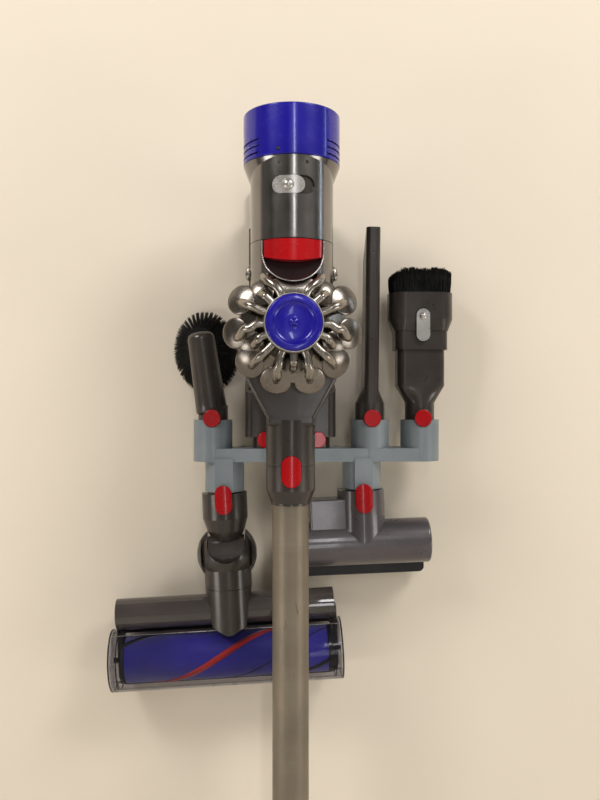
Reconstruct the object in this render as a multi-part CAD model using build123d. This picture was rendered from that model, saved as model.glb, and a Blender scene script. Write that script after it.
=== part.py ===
"""Cordless stick vacuum hanging on its wall dock, with the tool rail beneath it. Millimetres.

The origin is on the wall at the centre of the dock's screw pattern. +Z is up, +Y goes into
the wall and the machine stands out along -Y. X = 0 is the centre plane of the machine.
"""
from build123d import *
import math
import os

# ---- Dock on the wall ----
SCREW_X, SCREW_Z, SCREW_R = 28, 60, 2.6
PLATE_W, PLATE_H, PLATE_T = 84, 144, 8
CRADLE_W, CRADLE_FRONT = 88, -60.5
CRADLE_BOTTOM, CRADLE_TOP, CRADLE_FLOOR = -53, 10, -50.3

# ---- Motor housing, a vertical barrel ----
CASING_R, CASING_Y, WALL = 40, -167, 3.5
SEAM_Z, CAP_Z, CAP_TOP = -30, 46.6, 95.4
CAP_R, CAP_Y = 47, -160
SLIDER_Z, SLIDER_H, SLOT_LENGTH = 19, 16.6, 39.6

# ---- Bin and cyclone pack, on one axis along Y ----
PACK_Z = -110.2
BIN_R, BIN_INNER_R = 52, 49.8
BIN_BACK, BIN_FRONT = -66, -170
HUB_R, LID_R, LID_FRONT = 29.5, 26, -228
RECESS_R, RECESS_Z = 28.9, -41.4
DOOR_HINGE_Z, DOOR_HINGE_R = -167, 4

# ---- Handle and battery ----
BATTERY_W, BATTERY_BACK, BATTERY_FRONT = 72, -11, -55
BATTERY_BOTTOM, BATTERY_TOP = -50, 45
GRIP_W = 34
TRIGGER_Y, TRIGGER_Z = -118, -14
SCREW_Y, SCREW_LEVELS = -61.5, (-2, 16)

# ---- Inlet neck and wand, on one vertical axis ----
WAND_Y, NECK_R, AIRWAY_R = -127, 25, 15.3
NECK_END, WAND_TOP, WAND_END, FOOT_END = -246, -277, -961, -1010
WAND_R, WAND_BORE = 18.6, 16.9
WAND_BUTTON_Z = -251.3

# ---- Tool rail and the tools on it ----
RAIL_Y, RAIL_TOP, RAIL_BOTTOM, RAIL_DEPTH = -45, -233.4, -248, 42
SOCKET_R, SOCKET_BORE, SOCKET_FLOOR, SOCKET_TOP = 21.5, 16.8, -242, -202
TOOL_X = (-84, -25.9, 32.2, 92, 148.4)
PLUG_R, PLUG_END = 16.5, -241.5
FOOT_R, FOOT_BORE = 14.3, 14.7
TOOL_BUTTON_R, TOOL_BUTTON_Z = 9.5, -200
HANGER_X, HANGER_R, HANGER_HOLE_R, HANGER_DEPTH = (-52, 58), 7, 2.4, 18
PEG_R, SPIGOT_R = 21.5, 17
MINI_X, MINI_PEG_END, MINI_SPIGOT_END = 82.5, -279, -299.5
MAIN_X, MAIN_PEG_END, MAIN_SPIGOT_END = -71, -281.5, -308

# ---- Dusting brush ----
BRUSH_SHIFT, BRUSH_FOOT, BRUSH_LEAN = -5, -189, -6.5
BRUSH_STEM_R, BRUSH_Z, BRUSH_BACK, BRUSH_TIP = 15.9, -121.5, -26, -5

# ---- Small motor head ----
MINI_R, MINI_INNER_R, MINI_Z = 25, 22.6, -340
MINI_LEFT, MINI_RIGHT = 2, 156.5
MINI_TILT, MINI_TILT_Z, MINI_BORE = -2, -289, 17.8

# ---- Main floor head ----
HEAD_Y, HEAD_LEFT, HEAD_RIGHT = -44, -203.4, 52.1
TUBE_R, TUBE_Z = 17, -413
WINDOW_R, WINDOW_Z, ROLLER_R = 33.8, -464, 26
PIVOT_Z, BARREL_R, STEER_Z = -351, 20, -387.6
HEAD_TILT, HEAD_TILT_Z, HEAD_BORE, HEAD_BUTTON_Z = -2.7, -295, 18.1, -288.8

SLACK = 0.3


# ---- Helpers ----
def rod(radius, start, end):
    """A solid cylinder between two points."""
    start, end = Vector(*start), Vector(*end)
    return Solid.make_cylinder(radius, (end - start).length, Plane(origin=start, z_dir=end - start))


def taper(start, start_radius, end, end_radius):
    """A truncated cone between two points."""
    start, end = Vector(*start), Vector(*end)
    plane = Plane(origin=start, z_dir=end - start)
    return Solid.make_cone(start_radius, end_radius, (end - start).length, plane)


def pipe(outer, inner, start, end):
    """A round tube between two points."""
    return rod(outer, start, end) - rod(inner, start, end)


def block(x, y, z):
    """A box from three (low, high) pairs."""
    corner = Plane(origin=(x[0], y[0], z[0]))
    return Solid.make_box(x[1] - x[0], y[1] - y[0], z[1] - z[0], corner)


def front_prism(outline, back, front):
    """Extrude an outline drawn in X and Z from y = back out to y = front."""
    plane = Plane(origin=(0, back, 0), x_dir=(1, 0, 0), z_dir=(0, -1, 0))
    return extrude(plane * outline, amount=back - front).solid()


def side_prism(outline, left, right):
    """Extrude an outline drawn in Y and Z from x = left to x = right."""
    plane = Plane(origin=(left, 0, 0), x_dir=(0, 1, 0), z_dir=(1, 0, 0))
    return extrude(plane * outline, amount=right - left).solid()


def top_prism(outline, bottom, top):
    """Extrude an outline drawn in X and Y from z = bottom to z = top."""
    return extrude(Plane(origin=(0, 0, bottom)) * outline, amount=top - bottom).solid()


def face(*points):
    """A face inside a closed polygon."""
    return make_face(Polyline(*points, close=True))


def upright_slot(x, z, width, height):
    """A round-ended slot standing upright."""
    return Pos(x, z) * Rot(0, 0, 90) * SlotOverall(height, width)


def soften(solid, radius, axis=None):
    """Round a solid's edges: all of them, or those along one axis."""
    edges = solid.edges() if axis is None else solid.edges().filter_by(axis)
    return fillet(edges, radius).solid()


def around(angle, radius, y):
    """A point at an angle and a radius about the pack's axis."""
    turn = math.radians(angle)
    return (radius * math.cos(turn), y, PACK_Z + radius * math.sin(turn))


def pack_rod(radius, back, front):
    """A cylinder on the pack's axis."""
    return rod(radius, (0, back, PACK_Z), (0, front, PACK_Z))


def barrel(radius, bottom, top):
    """A cylinder on the motor housing's axis."""
    return rod(radius, (0, CASING_Y, bottom), (0, CASING_Y, top))


def on_wand(radius, bottom, top):
    """A cylinder on the wand's axis."""
    return rod(radius, (0, WAND_Y, bottom), (0, WAND_Y, top))


def on_rail(radius, x, bottom, top):
    """A vertical cylinder at one place on the rail."""
    return rod(radius, (x, RAIL_Y, bottom), (x, RAIL_Y, top))


def hang(solid, x, z, tilt):
    """A solid built square, leaned about one point as it hangs on or stands in the rail."""
    return Pos(x, RAIL_Y, z) * Rot(0, tilt, 0) * Pos(-x, -RAIL_Y, -z) * solid


# ---- Dock ----
def dock_plate():
    plate = front_prism(RectangleRounded(PLATE_W, PLATE_H, 12), 0, -PLATE_T)
    head_depth, head_r = 3, 5.2
    for x in (-SCREW_X, SCREW_X):
        for z in (-SCREW_Z, SCREW_Z):
            plate -= rod(SCREW_R, (x, 1, z), (x, -PLATE_T - 1, z))
            plate -= taper((x, head_depth - PLATE_T, z), SCREW_R, (x, -PLATE_T, z), head_r)
    return plate


def dock_cradle():
    outline = RectangleRounded(CRADLE_W, 2 * -CRADLE_FRONT, 10)
    body = top_prism(outline, CRADLE_BOTTOM, CRADLE_TOP)
    body &= block((-CRADLE_W, CRADLE_W), (CRADLE_FRONT, -PLATE_T), (CRADLE_BOTTOM, CRADLE_TOP))
    half, grip_gap, sill = BATTERY_W / 2 + 0.6, GRIP_W / 2 + 2, -28
    body -= block((-half, half), (BATTERY_FRONT - 0.6, -PLATE_T), (CRADLE_FLOOR, CRADLE_TOP))
    body -= block((-grip_gap, grip_gap), (CRADLE_FRONT, BATTERY_FRONT), (sill, CRADLE_TOP))
    contact_y, contact_top = -33, -44
    body += rod(4, (0, contact_y, CRADLE_FLOOR), (0, contact_y, contact_top))
    return body.solid()


# ---- Vacuum body ----
def casing_form(inset, bottom):
    """The motor housing's outside, or its inside when inset by the wall."""
    slope = (CAP_R - 33) / 35
    flare_low = CAP_Z - 35
    form = barrel(CASING_R - inset, bottom, CAP_Z)
    return form + taper((0, CAP_Y, flare_low), CAP_R - 35 * slope - inset,
                        (0, CAP_Y, CAP_Z), CAP_R - inset)


def motor_casing():
    casing = casing_form(0, SEAM_Z) - casing_form(WALL, SEAM_Z + 3)
    casing -= barrel(14, SEAM_Z - 1, SEAM_Z + 4)
    slot = front_prism(Pos(0.2, SLIDER_Z) * SlotOverall(SLOT_LENGTH, SLIDER_H + 0.6), CASING_Y, -210)
    return (casing - (slot & (barrel(42, 0, 40) - barrel(37.9, 0, 40)))).solid()


def power_slider():
    plate_w, plate_x, thumb_x = 30.4, -4.3, -4.5
    plate = front_prism(Pos(plate_x, SLIDER_Z) * SlotOverall(plate_w, SLIDER_H), CASING_Y, -210)
    plate &= barrel(40.3, 0, 40) - barrel(38.1, 0, 40)
    thumb = Pos(thumb_x, CASING_Y - 36.5, SLIDER_Z) * Sphere(6.5)
    return (plate + (thumb - barrel(38.1, 0, 40))).solid()


def lower_casing():
    shell = barrel(CASING_R, -80, SEAM_Z) - barrel(CASING_R - 2.5, -80, SEAM_Z)
    shell -= pack_rod(BIN_R + 0.6, 0, -240)
    shell -= front_prism(recess_outline(RECESS_R + 0.4, SEAM_Z + 1), CASING_Y, -215)
    return max(shell.solids(), key=lambda piece: piece.volume)


def recess_outline(radius, top):
    """The lever opening's outline: straight sides over a half circle."""
    height = top - RECESS_Z
    return Pos(0, RECESS_Z) * Circle(radius) + Pos(0, RECESS_Z + height / 2) * Rectangle(2 * radius, height)


def lever_recess():
    back, cavity_back, rim = -176, -188, 1.2
    body = front_prism(recess_outline(RECESS_R, SEAM_Z - 0.6), back, -215)
    body &= barrel(CASING_R, -80, SEAM_Z)
    body -= front_prism(recess_outline(RECESS_R - rim, SEAM_Z), cavity_back, -215)
    body -= block((-8.4, 8.4), (cavity_back - 1, back + 1), (-44.4, -37.6))
    return body.solid()


def eject_lever():
    half, top, side_z, belly_z = 27.2, SEAM_Z - 0.8, -46.6, -50.8
    outline = make_face([Polyline((-half, side_z), (-half, top), (half, top), (half, side_z)),
                         ThreePointArc((half, side_z), (0, belly_z), (-half, side_z))])
    lever = front_prism(outline, -193, -215) & barrel(CASING_R - 0.1, -80, 0)
    tongue = block((-8, 8), (-193.5, -178), (-44, -38))
    return (lever + tongue).solid()


def motor_stator():
    y = CASING_Y
    can = barrel(30, -14, 20) - barrel(15, -11, 17) - barrel(2.56, -15, 21)
    for turn in (0, 120, 240):
        from_axis = (Align.MIN, Align.CENTER, Align.CENTER)
        lug = Pos(0, y, 3) * Rot(0, 0, turn) * Box(2 * CASING_R, 8, 6, align=from_axis)
        can += (lug & (barrel(CASING_R - WALL, -5, 10) - barrel(29, -5, 10)))
    return can.solid()


def motor_impeller():
    shaft = barrel(2.5, -25, 26)
    wheel = taper((0, CASING_Y, -24), 24, (0, CASING_Y, -16), 10)
    return (shaft + wheel + barrel(13.5, -9, 15)).solid()


def control_board():
    return block((-18, 18), (-135, -133.4), (22, 44))


def post_filter_cap():
    body = soften(rod(CAP_R, (0, CAP_Y, CAP_Z + 0.4), (0, CAP_Y, CAP_TOP)), 1.5)
    body -= rod(CAP_R - 2.4, (0, CAP_Y, CAP_Z), (0, CAP_Y, CAP_TOP - 3))
    body -= taper((0, CAP_Y, CAP_TOP - 1.2), 30, (0, CAP_Y, CAP_TOP), 36)
    for z in (51.8, 58, 64):
        for start in (-47, 133):
            ring = Plane(origin=(0, CAP_Y, z - 0.8))
            gap = Solid.make_cylinder(CAP_R + 1, 1.6, ring, 94)
            body -= Pos(0, CAP_Y, 0) * Rot(0, 0, start) * Pos(0, -CAP_Y, 0) * gap
    return body.solid()


def post_filter_media():
    return pipe(41, 26, (0, CAP_Y, 52), (0, CAP_Y, CAP_TOP - 3))


def inlet_neck():
    back, front, bin_side = -104, -150, -134
    shoulder, waist = (45.5, -159.4), (24.6, -198)
    outline = face((-45.5, bin_side), (-shoulder[0], shoulder[1]), (-waist[0], waist[1]),
                   (-waist[0], -206), (waist[0], -206), waist, shoulder, (45.5, bin_side))
    funnel = soften(front_prism(outline, back, front), 4)
    panel = face((-40.5, bin_side), (-40.5, -161), (-20.5, waist[1]), (20.5, waist[1]),
                 (40.5, -161), (40.5, bin_side))
    funnel -= front_prism(panel, front + 1.6, front - 1)
    funnel -= pack_rod(BIN_R + 0.05, 0, -240)
    neck = funnel + on_wand(NECK_R, NECK_END, waist[1] - 2)
    neck -= on_wand(AIRWAY_R, NECK_END, -150)
    neck -= on_wand(21.2, NECK_END, -220)
    notch_r = 10.5
    notch = rod(notch_r, (0, -140, WAND_BUTTON_Z + 5.7), (0, -156, WAND_BUTTON_Z + 5.7))
    return (neck - notch).solid()


def clear_bin():
    shell = pack_rod(BIN_R, BIN_BACK, BIN_FRONT) - pack_rod(BIN_INNER_R, BIN_BACK, BIN_FRONT)
    shell -= on_wand(AIRWAY_R, -170, -150)
    for x in (-20, 14):
        ear = rod(DOOR_HINGE_R, (x, BIN_BACK - 0.2, DOOR_HINGE_Z), (x + 6, BIN_BACK - 0.2, DOOR_HINGE_Z))
        ear += block((x, x + 6), (BIN_BACK - 4, BIN_BACK - 0.3), (DOOR_HINGE_Z, -150))
        ear -= pack_rod(BIN_R - 1, 0, -240)
        ear -= rod(1.56, (x - 1, BIN_BACK, DOOR_HINGE_Z), (x + 7, BIN_BACK, DOOR_HINGE_Z))
        shell += ear
    return shell.solid()


def bin_door():
    door_face, door_back = BIN_BACK + SLACK, BIN_BACK + 4
    door = pack_rod(BIN_R, door_back, door_face)
    door = fillet(door.edges().group_by(Axis.Y)[-1], 1.5).solid()
    door -= pack_rod(42, door_back + 1, door_back - 1.4)
    door += rod(DOOR_HINGE_R - 0.3, (-13.6, BIN_BACK, DOOR_HINGE_Z), (13.6, BIN_BACK, DOOR_HINGE_Z))
    door += block((-13.6, 13.6), (door_face, door_back), (DOOR_HINGE_Z, -158))
    door += rod(1.5, (-20, BIN_BACK, DOOR_HINGE_Z), (20, BIN_BACK, DOOR_HINGE_Z))
    return door.solid()


def bin_door_seal():
    return pack_rod(49.3, BIN_BACK + SLACK, BIN_BACK - 3) - pack_rod(46.5, BIN_BACK + SLACK, BIN_BACK - 3)


def handle_body():
    """The whole grip as one hollow solid, before it is split down the middle."""
    upper = ThreePointArc((-133, 40), (-92, 26), (-50, 31))
    lower = ThreePointArc((-50, -27), (-92, -13), (-133, -26))
    outline = make_face([upper, Line(upper @ 1, lower @ 0), lower, Line(lower @ 1, upper @ 0)])
    half, shell = GRIP_W / 2, 2.8
    grip = side_prism(outline, -half, half)
    long_edges = [edge for edge in grip.edges() if edge.geom_type == GeomType.CIRCLE]
    grip = fillet(long_edges, 9).solid()
    grip &= block((-half, half), (-135, BATTERY_FRONT - 0.05), (-60, 60))
    grip -= side_prism(offset(outline, -shell), shell - half, half - shell)
    grip -= casing_form(-0.05, SEAM_Z)
    grip -= barrel(CASING_R + 0.05, -80, SEAM_Z + 1)
    pivot_boss = rod(4.4, (1 - half, TRIGGER_Y, TRIGGER_Z + 1.5), (half - 1, TRIGGER_Y, TRIGGER_Z + 1.5))
    grip += pivot_boss
    grip -= block((-7.6, 7.6), (-127, -92), (-40, 8))
    grip -= rod(2.06, (-13, TRIGGER_Y, TRIGGER_Z), (13, TRIGGER_Y, TRIGGER_Z))
    for z in SCREW_LEVELS:
        grip -= rod(1.6, (-half - 1, SCREW_Y, z), (0, SCREW_Y, z))
        grip -= rod(3.2, (-half - 1, SCREW_Y, z), (-half + 1.4, SCREW_Y, z))
    return grip


def handle_left():
    side = handle_body() & block((-GRIP_W, -0.02), (-140, -50), (-60, 60))
    return max(side.solids(), key=lambda piece: piece.volume)


def handle_right():
    side = handle_body() & block((0.02, GRIP_W), (-140, -50), (-60, 60))
    return max(side.solids(), key=lambda piece: piece.volume)


def trigger():
    y, z = TRIGGER_Y, TRIGGER_Z
    blade = side_prism(face((y - 5, z - 4), (y + 1, z - 15), (y + 12, z - 20), (y + 21, z - 18),
                            (y + 22, z - 8), (y + 12, z + 3), (y - 3, z + 4)), -7, 7)
    blade = soften(blade, 2)
    return (blade + rod(2, (-12, y, z), (12, y, z))).solid()


def battery_case():
    half, skin = BATTERY_W / 2, 2.5
    case = soften(block((-half, half), (BATTERY_FRONT, BATTERY_BACK), (BATTERY_BOTTOM, BATTERY_TOP)), 6)
    case -= block((skin - half, half - skin), (BATTERY_FRONT + skin, BATTERY_BACK - skin),
                  (BATTERY_BOTTOM + skin, BATTERY_TOP - skin))
    case -= rod(4.6, (0, -33, BATTERY_BOTTOM - 1), (0, -33, BATTERY_BOTTOM + 3))
    tab = block((-9, 9), (-67, BATTERY_FRONT + 1), (-8, 22))
    for z in SCREW_LEVELS:
        tab -= rod(1.6, (-20, SCREW_Y, z), (20, SCREW_Y, z))
    return (case + tab).solid()


def battery_cells():
    cells = [rod(9.1, (x, y, -38), (x, y, 27)) for x in (-19, 0, 19) for y in (-42.6, -23.4)]
    return Compound(cells)


def battery_screws():
    screws = []
    side = -GRIP_W / 2
    for z in SCREW_LEVELS:
        shank = rod(1.5, (side + 1, SCREW_Y, z), (11.5, SCREW_Y, z))
        head = rod(3, (side - 0.4, SCREW_Y, z), (side + 1.3, SCREW_Y, z))
        screws.append((shank + head).solid())
    return Compound(screws)


# ---- Cyclone pack ----
# Each finger: angle at the hub, at the tip and of its cone, and whether it is a short inner one.
FINGERS = ((-90, -90, -90, True), (-67.8, -73, -72.5, False), (-45.6, -44.5, -41, False),
           (-23.4, -28, -24.4, True), (-1.2, -12.5, -7.8, False), (21, 23, 26.5, False),
           (43.2, 43, 45.2, True))
TOP_FINGER = (65.4, 58.9)
FINGER_R = 3.8
# Short and long cones: base radius and Y, top radius and Y about the pack's axis, disc radius.
SHORT_CONE = (35, -178, 41.8, -197, 12.5)
LONG_CONE = (45, -178, 53.4, -192, 14.6)
DISC_T = 2.2


def finger(hub_angle, tip_angle, knee, tip_radius, tip_y):
    """One bent air tube from the hub out and down to its cone."""
    path = FilletPolyline(around(hub_angle, 25, -215), around(hub_angle, 33, -216),
                          around((hub_angle + tip_angle) / 2, knee, -216),
                          around(tip_angle, tip_radius, tip_y), radius=4.5)
    start = Plane(origin=path @ 0, z_dir=path % 0)
    return sweep(start * Circle(FINGER_R), path=path).solid()


def cone_and_finger(hub_angle, tip_angle, cone_angle, short):
    """One cyclone: a cone with a flat disc on top, and the finger that feeds it."""
    base_r, base_y, top_r, top_y, disc_r = SHORT_CONE if short else LONG_CONE
    base, top = around(cone_angle, base_r, base_y), around(cone_angle, top_r, top_y)
    lean = (Vector(*top) - Vector(*base)).normalized()
    rim = Vector(*top) + lean * DISC_T
    body = taper(base, 7, top, disc_r) + rod(disc_r, top, tuple(rim))
    knee, tip_radius = (38, 42) if short else (47, 52)
    return body + finger(hub_angle, tip_angle, knee, tip_radius, top_y - 1)


def cyclone_cover():
    cover = pack_rod(HUB_R, -173.5, -222) - pack_rod(24.6, -173.5, -222)
    for hub_angle, tip_angle, cone_angle, short in FINGERS:
        cover += cone_and_finger(hub_angle, tip_angle, cone_angle, short)
        if hub_angle != -90:
            cover += cone_and_finger(-180 - hub_angle, -180 - tip_angle, -180 - cone_angle, short)
    for hub_angle, tip_angle in (TOP_FINGER, (180 - TOP_FINGER[0], 180 - TOP_FINGER[1])):
        cover += finger(hub_angle, tip_angle, 45, 51, -203)
    cover += pack_rod(50.5, -173.5, -177) - pack_rod(24.6, -173.5, -177)
    saddle = (pack_rod(39.4, -177, -203) - pack_rod(28, -177, -203)) & front_prism(
        face((0, PACK_Z), (24, PACK_Z + 45), (-24, PACK_Z + 45)), -170, -210)
    cover += saddle
    opening = front_prism(recess_outline(RECESS_R + 0.05, SEAM_Z), -170, -240)
    cover -= opening & barrel(CASING_R + 0.1, -120, 0)
    cover -= barrel(CASING_R + SLACK, -80, 0) - pack_rod(BIN_R + 0.3, -100, -240)
    cover -= pack_rod(24.6, -160, -240)
    return max(cover.solids(), key=lambda piece: piece.volume)


def cyclone_cones():
    back = pack_rod(50.5, BIN_FRONT - 0.4, -173.5) - pack_rod(24.5, BIN_FRONT - 0.4, -173.5)
    for step in range(10):
        angle = step * 36
        back += taper(around(angle, 29.6, -171), 4.6, around(angle, 29.6, -140), 2.5)
    return back.solid()


def shroud_mesh():
    return pack_rod(36.4, -106, BIN_FRONT - 0.4) - pack_rod(35.2, -106, BIN_FRONT - 0.4)


def shroud_wiper():
    collar = taper((0, -112, PACK_Z), 39, (0, -100, PACK_Z), 48.8) - pack_rod(36.4, -106, -120)
    return (collar - pack_rod(34, -99, -103)).solid()


def filter_lid():
    lid = fillet(pack_rod(LID_R, -222.4, LID_FRONT).edges().group_by(Axis.Y)[0], 1.5).solid()
    lid -= taper((0, LID_FRONT - 0.1, PACK_Z), 18, (0, LID_FRONT + 2.6, PACK_Z), 15.5)
    lid += pack_rod(23.9, -215, -222.4)
    hub = taper((0, LID_FRONT + 2.6, PACK_Z), 3.2, (0, LID_FRONT + 0.4, PACK_Z), 2.4)
    return (lid + hub).solid()


def filter_sleeve():
    return pack_rod(17, -130, -215) - pack_rod(12, -130, -213)


# ---- Wand ----
def wand_tube():
    return pipe(WAND_R, WAND_BORE, (0, WAND_Y, WAND_END), (0, WAND_Y, WAND_TOP))


def wand_collar():
    collar = on_wand(NECK_R, -271, NECK_END - SLACK)
    collar += taper((0, WAND_Y, -284), 19.8, (0, WAND_Y, -271), NECK_R)
    collar += on_wand(19.8, -286, -284) + on_wand(20.8, NECK_END - 1, -222)
    collar -= on_wand(AIRWAY_R, -290, -220)
    collar -= on_wand(WAND_R + 0.05, -290, WAND_TOP)
    pocket = front_prism(upright_slot(0, WAND_BUTTON_Z, 20.8, 32.2), -144.6, -156)
    return (collar - pocket).solid()


def wand_button():
    button = front_prism(upright_slot(0, WAND_BUTTON_Z, 20, 31.4), -146.4, -156)
    return (button & on_wand(NECK_R + 1.6, -280, -220)).solid()


def wand_foot():
    foot = on_wand(20.8, -985, -930) + on_wand(PLUG_R, FOOT_END, -985)
    foot -= on_wand(14, FOOT_END, -930)
    return (foot - on_wand(WAND_R + 0.05, WAND_END, -930)).solid()


# ---- Tool rail ----
def tool_rail():
    depth = RAIL_DEPTH / 2
    rail = block((TOOL_X[0], TOOL_X[-1]), (RAIL_Y - depth, RAIL_Y + depth), (RAIL_BOTTOM, RAIL_TOP))
    for x in (TOOL_X[0], TOOL_X[3], TOOL_X[4]):
        rail += on_rail(SOCKET_R, x, RAIL_BOTTOM, SOCKET_TOP)
    pegs = ((MAIN_X, MAIN_PEG_END, MAIN_SPIGOT_END), (MINI_X, MINI_PEG_END, MINI_SPIGOT_END))
    for x, end, spigot_end in pegs:
        rail += on_rail(PEG_R, x, end + SLACK, RAIL_BOTTOM) + on_rail(SPIGOT_R, x, spigot_end, end + 1)
        rail += block((x - 10, x + 10), (RAIL_Y - 22.6, RAIL_Y), (end + SLACK, RAIL_BOTTOM + 4))
    for x in HANGER_X:
        z = (RAIL_TOP + RAIL_BOTTOM) / 2
        rail += rod(HANGER_R, (x, RAIL_Y + depth - 1, z), (x, 0, z))
        rail -= rod(HANGER_HOLE_R, (x, 1, z), (x, -HANGER_DEPTH, z))
    for x in (TOOL_X[0], TOOL_X[3], TOOL_X[4]):
        rail -= on_rail(SOCKET_BORE, x, SOCKET_FLOOR, SOCKET_TOP)
        notch = rod(TOOL_BUTTON_R + 0.7, (x, RAIL_Y - 10, TOOL_BUTTON_Z), (x, RAIL_Y - 30, TOOL_BUTTON_Z))
        rail -= notch
    for x in TOOL_X[1:3]:
        rail -= on_rail(FOOT_BORE, x, SOCKET_FLOOR, RAIL_TOP)
    return rail.solid()


def socket_button(x):
    """A tool's round release button, standing in the notch of its socket."""
    front = RAIL_Y - SOCKET_R - 1.4
    button = rod(TOOL_BUTTON_R, (x, RAIL_Y - PLUG_R - 2.2, TOOL_BUTTON_Z), (x, front, TOOL_BUTTON_Z))
    return fillet(button.edges().group_by(Axis.Y)[0], 0.8).solid()


def centre_button(x):
    """The round release button of a tool that stands in the bar itself."""
    button = rod(9, (x, -60.2, -224), (x, -63, -224))
    return fillet(button.edges().group_by(Axis.Y)[0], 0.8).solid()


def plug(x, top, bore=13):
    """The round connector that stands in a socket."""
    return on_rail(PLUG_R, x, PLUG_END, top) - on_rail(bore, x, PLUG_END, top)


def plug_boss(x):
    """The flat behind a tool's release button."""
    return rod(TOOL_BUTTON_R - 1, (x, RAIL_Y - PLUG_R - 0.6, TOOL_BUTTON_Z), (x, RAIL_Y - 12, TOOL_BUTTON_Z))


# ---- Dusting brush ----
def on_brush(solid):
    """A solid built upright, leaned over about the dusting brush's foot."""
    return hang(solid, TOOL_X[0] + BRUSH_SHIFT, BRUSH_FOOT, BRUSH_LEAN)


def dusting_brush_body():
    x, top = TOOL_X[0], -104
    stem = on_rail(BRUSH_STEM_R, x + BRUSH_SHIFT, BRUSH_FOOT, top)
    stem = fillet(stem.edges().group_by(Axis.Z)[-1], 8).solid()
    back_plane = Plane(origin=(x + BRUSH_SHIFT, BRUSH_BACK, BRUSH_Z), z_dir=(0, -1, 0))
    back = extrude(back_plane * Ellipse(12.5, 20), amount=6)
    body = on_brush(stem + back.solid())
    body += on_rail(PLUG_R, x, PLUG_END, -183) + plug_boss(x)
    body -= on_rail(13, x, PLUG_END, -185)
    return body.solid()


def dusting_brush_bristles():
    """The flared tuft, wider at its tips by the wall than where it leaves the brush."""
    sizes = ((BRUSH_TIP, 2.5, 3, 39, 48.5), (BRUSH_BACK, 0, 0, 16.9, 24.9))
    x = TOOL_X[0] + BRUSH_SHIFT
    rings = [Plane(origin=(x + across, y, BRUSH_Z - down), x_dir=(1, 0, 0), z_dir=(0, -1, 0))
             * Ellipse(width, height) for y, across, down, width, height in sizes]
    return on_brush(loft(rings).solid())


# ---- Two tools behind the vacuum ----
def centre_tool(x, width):
    """A broad tool with a sloping mouth on a narrow foot."""
    profile = face((-60, -221), (-24, -221), (-20, -214), (-20, -154.5), (-60, -172.5))
    body = side_prism(profile, x - width / 2, x + width / 2)
    body = fillet(body.edges().filter_by(Axis.Z), 9).solid()
    body += on_rail(FOOT_R, x, PLUG_END, -220) + block((x - 9, x + 9), (-58.4, -45), (-232.9, -220))
    body -= rod(9.4, (x, -58.4, -224), (x, -64, -224))
    mouth = block((x - width / 2 + 4, x + width / 2 - 4), (-52, -26), (-205, -140))
    return (body - mouth - on_rail(10.5, x, PLUG_END, -204)).solid()


# ---- Crevice tool ----
def crevice_tool():
    x = TOOL_X[3]
    spine_half, top, slant_top, root, lean = 7.9, 12, -22, -184, 0.75
    profile = face((-62, root), (-28, root), (-30, slant_top), (-56, top), (-62, top))
    spine = side_prism(profile, x - spine_half, x + spine_half)
    spine = hang(fillet(spine.edges().filter_by(Axis.Z), 5).solid(), x, root, lean)
    shoulders = loft([Plane(origin=(x, RAIL_Y, root)) * Circle(PLUG_R),
                      Plane(origin=(x, RAIL_Y, -165)) * RectangleRounded(16, 30, 7)]).solid()
    body = spine + shoulders + on_rail(PLUG_R, x, PLUG_END, -183) + plug_boss(x)
    body -= on_rail(13, x, PLUG_END, -188)
    body -= hang(block((x - 5, x + 5), (-57, -34), (-188.5, 20)), x, root, lean)
    return body.solid()


# ---- Combination tool ----
def combi_nozzle():
    x = TOOL_X[4]
    level = [Plane(origin=(x, RAIL_Y, z)) for z in (-183, -164, -68)]
    body = loft([level[0] * Circle(PLUG_R), level[1] * RectangleRounded(53, 30, 8)]).solid()
    body += extrude(level[1] * RectangleRounded(53, 30, 8), amount=96)
    body += on_rail(PLUG_R, x, PLUG_END, -182.5) + plug_boss(x)
    body -= on_rail(13, x, PLUG_END, -178)
    bore = loft([level[0] * Pos(0, 0, 3) * Circle(13), level[1] * Pos(0, 0, 3) * RectangleRounded(47, 24, 5)])
    body -= bore.solid() + extrude(level[1] * Pos(0, 0, 2) * RectangleRounded(47, 24, 5), amount=110)
    mark = rod(6, (x, -59.2, -154), (x, -61, -154)) & block((x - 7, x + 7), (-62, -58), (-161, -153))
    return (body - mark).solid()


def combi_brush_sleeve():
    x = TOOL_X[4]
    sleeve = top_prism(Pos(x, RAIL_Y) * RectangleRounded(58.6, 37, 9), -124, -100)
    head_low = Plane(origin=(x, RAIL_Y, -103)) * RectangleRounded(60, 39, 10)
    head_mid = Plane(origin=(x, RAIL_Y, -90)) * RectangleRounded(72, 44, 18)
    sleeve += loft([head_low, head_mid]).solid()
    sleeve += top_prism(Pos(x, RAIL_Y) * RectangleRounded(72, 44, 18), -90, -60.5)
    sleeve -= top_prism(Pos(x, RAIL_Y) * RectangleRounded(53.8, 30.8, 8.4), -130, -60)
    pocket = front_prism(upright_slot(x, -97, 17, 38), -62.2, -75)
    return (sleeve - pocket).solid()


def combi_catch():
    x = TOOL_X[4]
    catch = front_prism(upright_slot(x, -97, 15, 36), -64.2, -68.2)
    thumb = (Pos(x, -65.2, -87.5) * Sphere(5.4)) & block((x - 8, x + 8), (-75, -64.2), (-100, -70))
    return (catch + thumb).solid()


def combi_bristles():
    x = TOOL_X[4]
    tuft = top_prism(Pos(x, RAIL_Y) * RectangleRounded(70, 40, 16), -60.5, -32.3)
    return (tuft - top_prism(Pos(x, RAIL_Y) * RectangleRounded(55, 32, 8), -60.5, -32.3)).solid()


# ---- Small motor head ----
def mini_rod(radius, left, right):
    """A cylinder along the small head's roller."""
    return rod(radius, (left, RAIL_Y, MINI_Z), (right, RAIL_Y, MINI_Z))


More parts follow.
